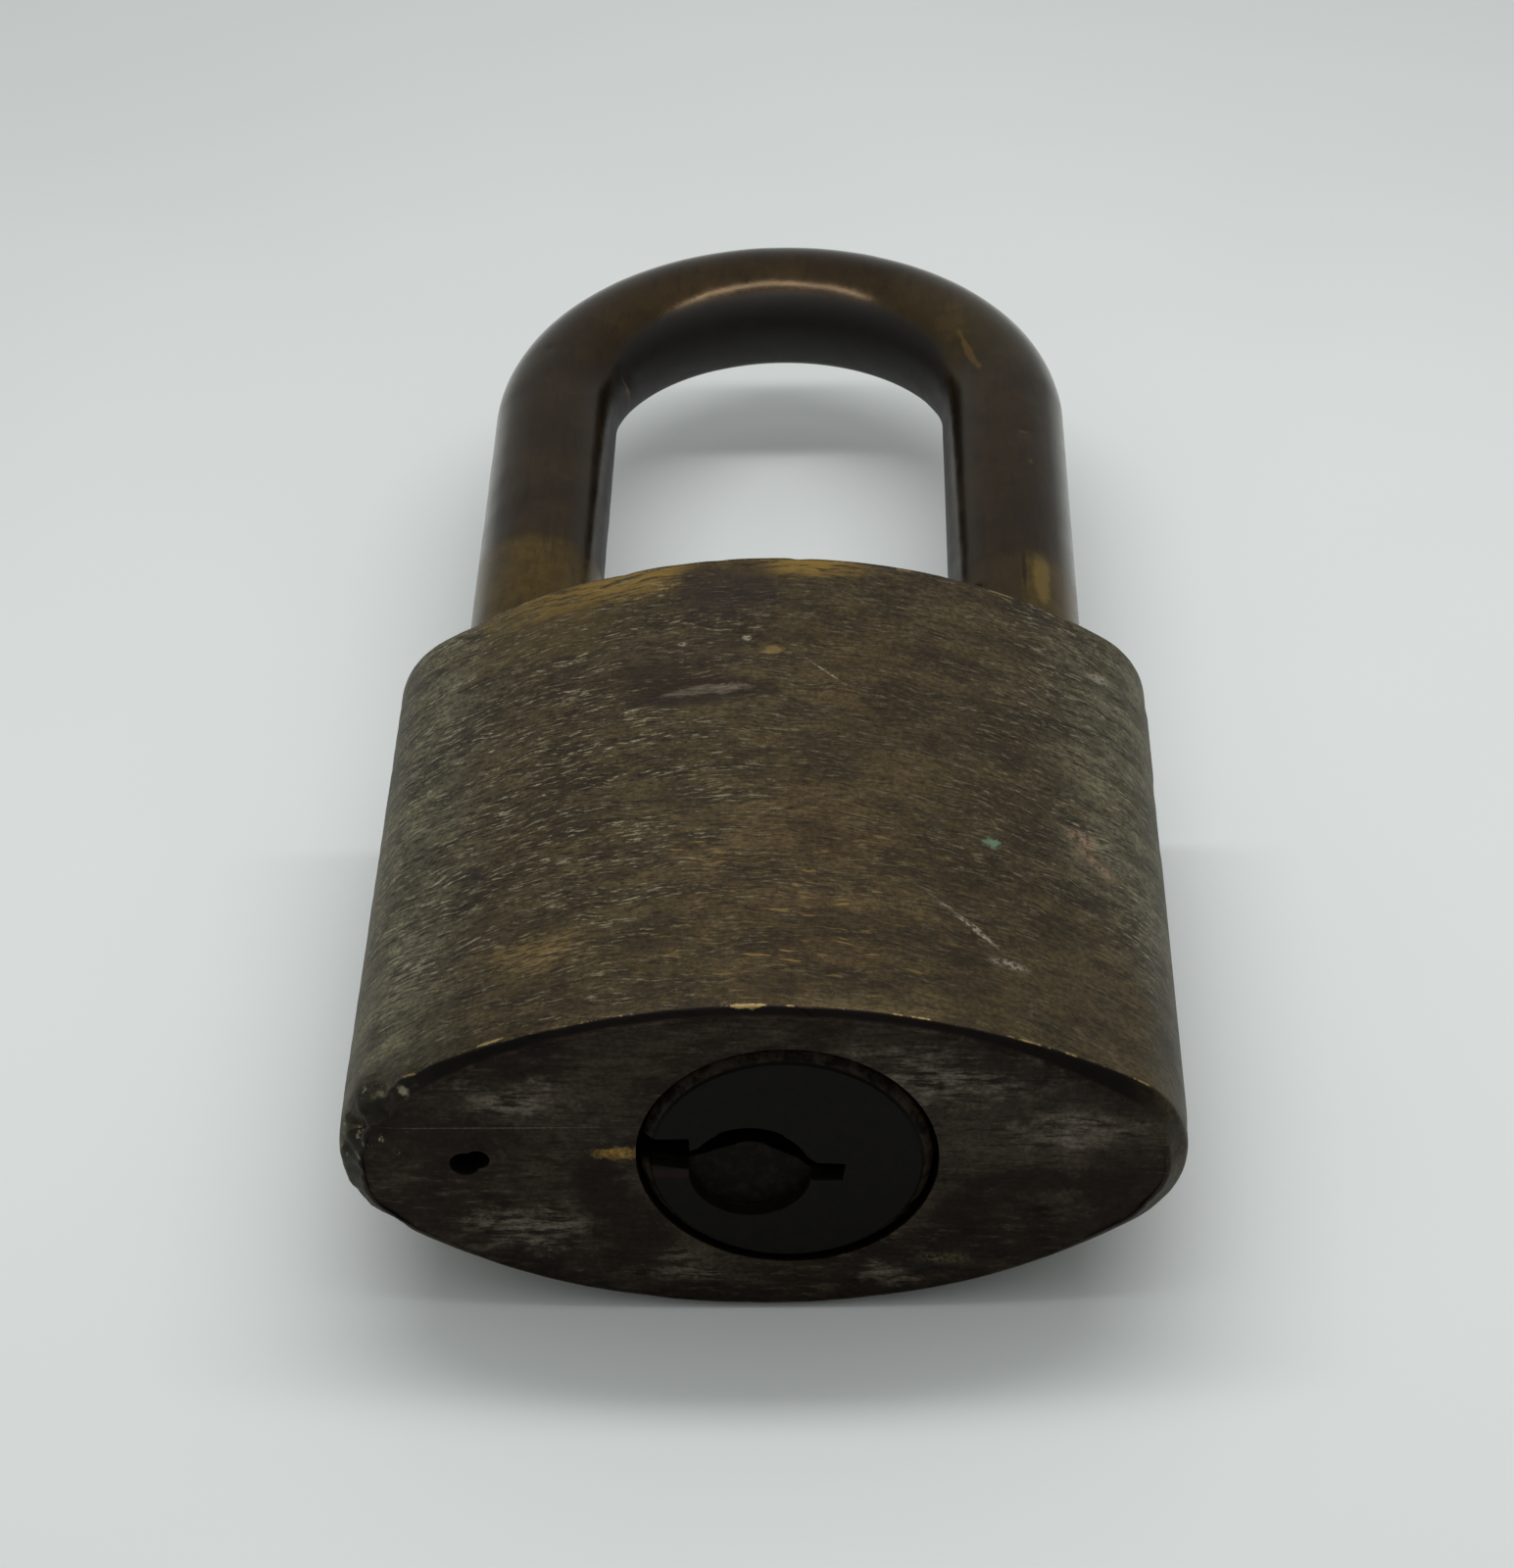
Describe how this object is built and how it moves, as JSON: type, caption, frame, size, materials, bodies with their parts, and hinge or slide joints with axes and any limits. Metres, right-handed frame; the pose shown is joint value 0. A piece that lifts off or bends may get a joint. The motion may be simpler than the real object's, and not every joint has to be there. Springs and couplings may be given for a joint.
{
  "type": "padlock",
  "caption": "Solid-body pin tumbler padlock with lens-shaped section, popped-up round shackle that slides and swings, turning plug, sliding latch and sprung pins.",
  "frame": {"origin": "on the surface that the lock lies on, below the middle of its box, with the shackle popped up", "axes": "+X across the body to the right of the keyway, +Y from the keyway end to the shackle, +Z from the back to the front"},
  "size_m": [0.0444, 0.0858, 0.0221],
  "materials": {
    "tarnished_brass": "brushed brass under a dark brown patina, worn to yellow on edges",
    "bronzed_rod": "smooth dark brown patina, bright where the rod slides in the body",
    "dark_plug": "dull dark grey-brown patina",
    "bright_brass": "turned brass",
    "spring_steel": "plain steel"
  },
  "bodies": {
    "body": {"body": "tarnished_brass", "heel_retaining_pin": "spring_steel", "plug_retaining_pin": "tarnished_brass", "latch_bore_cap": "tarnished_brass", "shackle_spring": "spring_steel", "latch_spring": "spring_steel", "pin_spring_1": "spring_steel", "pin_spring_2": "spring_steel", "pin_spring_3": "spring_steel", "pin_spring_4": "spring_steel", "pin_spring_5": "spring_steel", "chamber_cap_1": "tarnished_brass", "chamber_cap_2": "tarnished_brass", "chamber_cap_3": "tarnished_brass", "chamber_cap_4": "tarnished_brass", "chamber_cap_5": "tarnished_brass"},
    "spring_follower": {"spring_follower": "spring_steel"},
    "shackle": {"shackle": "bronzed_rod"},
    "plug": {"plug": "dark_plug"},
    "latch": {"latch": "bright_brass"},
    "bottom_pin_1": {"bottom_pin_1": "bright_brass"},
    "bottom_pin_2": {"bottom_pin_2": "bright_brass"},
    "bottom_pin_3": {"bottom_pin_3": "bright_brass"},
    "bottom_pin_4": {"bottom_pin_4": "bright_brass"},
    "bottom_pin_5": {"bottom_pin_5": "bright_brass"},
    "driver_pin_1": {"driver_pin_1": "spring_steel"},
    "driver_pin_2": {"driver_pin_2": "spring_steel"},
    "driver_pin_3": {"driver_pin_3": "spring_steel"},
    "driver_pin_4": {"driver_pin_4": "spring_steel"},
    "driver_pin_5": {"driver_pin_5": "spring_steel"}
  },
  "joints": [
    {"name": "shackle_lift", "type": "slide", "parent": "body", "child": "spring_follower", "axis": [0, 1, 0], "range_m": [-0.01, 0], "stiffness_N_per_m": 300, "springref_m": 0.004, "deforming": ["shackle_spring"]},
    {"name": "shackle_swing", "type": "hinge", "parent": "spring_follower", "child": "shackle", "pos_m": [-0.0147, -0.01648, 0.01101], "axis": [0, -1, 0], "range_deg": [0, 180]},
    {"name": "plug_turn", "type": "hinge", "parent": "body", "child": "plug", "pos_m": [0.0013, -0.02889, 0.01136], "axis": [0, 1, 0], "range_deg": [0, 90]},
    {"name": "latch_slide", "type": "slide", "parent": "body", "child": "latch", "axis": [-1, 0, 0], "range_m": [-0.0022, 0], "deforming": ["latch_spring"]},
    {"name": "bottom_pin_1_slide", "type": "slide", "parent": "plug", "child": "bottom_pin_1", "axis": [1, 0, 0], "range_m": [-0.002, 0]},
    {"name": "bottom_pin_2_slide", "type": "slide", "parent": "plug", "child": "bottom_pin_2", "axis": [1, 0, 0], "range_m": [-0.0012, 0]},
    {"name": "bottom_pin_3_slide", "type": "slide", "parent": "plug", "child": "bottom_pin_3", "axis": [1, 0, 0], "range_m": [-0.0024, 0]},
    {"name": "bottom_pin_4_slide", "type": "slide", "parent": "plug", "child": "bottom_pin_4", "axis": [1, 0, 0], "range_m": [-0.0008, 0]},
    {"name": "bottom_pin_5_slide", "type": "slide", "parent": "plug", "child": "bottom_pin_5", "axis": [1, 0, 0], "range_m": [-0.0016, 0]},
    {"name": "driver_pin_1_slide", "type": "slide", "parent": "body", "child": "driver_pin_1", "axis": [1, 0, 0], "range_m": [-0.002, 0], "deforming": ["pin_spring_1"]},
    {"name": "driver_pin_2_slide", "type": "slide", "parent": "body", "child": "driver_pin_2", "axis": [1, 0, 0], "range_m": [-0.0012, 0], "deforming": ["pin_spring_2"]},
    {"name": "driver_pin_3_slide", "type": "slide", "parent": "body", "child": "driver_pin_3", "axis": [1, 0, 0], "range_m": [-0.0024, 0], "deforming": ["pin_spring_3"]},
    {"name": "driver_pin_4_slide", "type": "slide", "parent": "body", "child": "driver_pin_4", "axis": [1, 0, 0], "range_m": [-0.0008, 0], "deforming": ["pin_spring_4"]},
    {"name": "driver_pin_5_slide", "type": "slide", "parent": "body", "child": "driver_pin_5", "axis": [1, 0, 0], "range_m": [-0.0016, 0], "deforming": ["pin_spring_5"]}
  ],
  "couplings": [
    {"joint": "driver_pin_1_slide", "follows": "bottom_pin_1_slide", "ratio": 1},
    {"joint": "driver_pin_2_slide", "follows": "bottom_pin_2_slide", "ratio": 1},
    {"joint": "driver_pin_3_slide", "follows": "bottom_pin_3_slide", "ratio": 1},
    {"joint": "driver_pin_4_slide", "follows": "bottom_pin_4_slide", "ratio": 1},
    {"joint": "driver_pin_5_slide", "follows": "bottom_pin_5_slide", "ratio": 1}
  ]
}
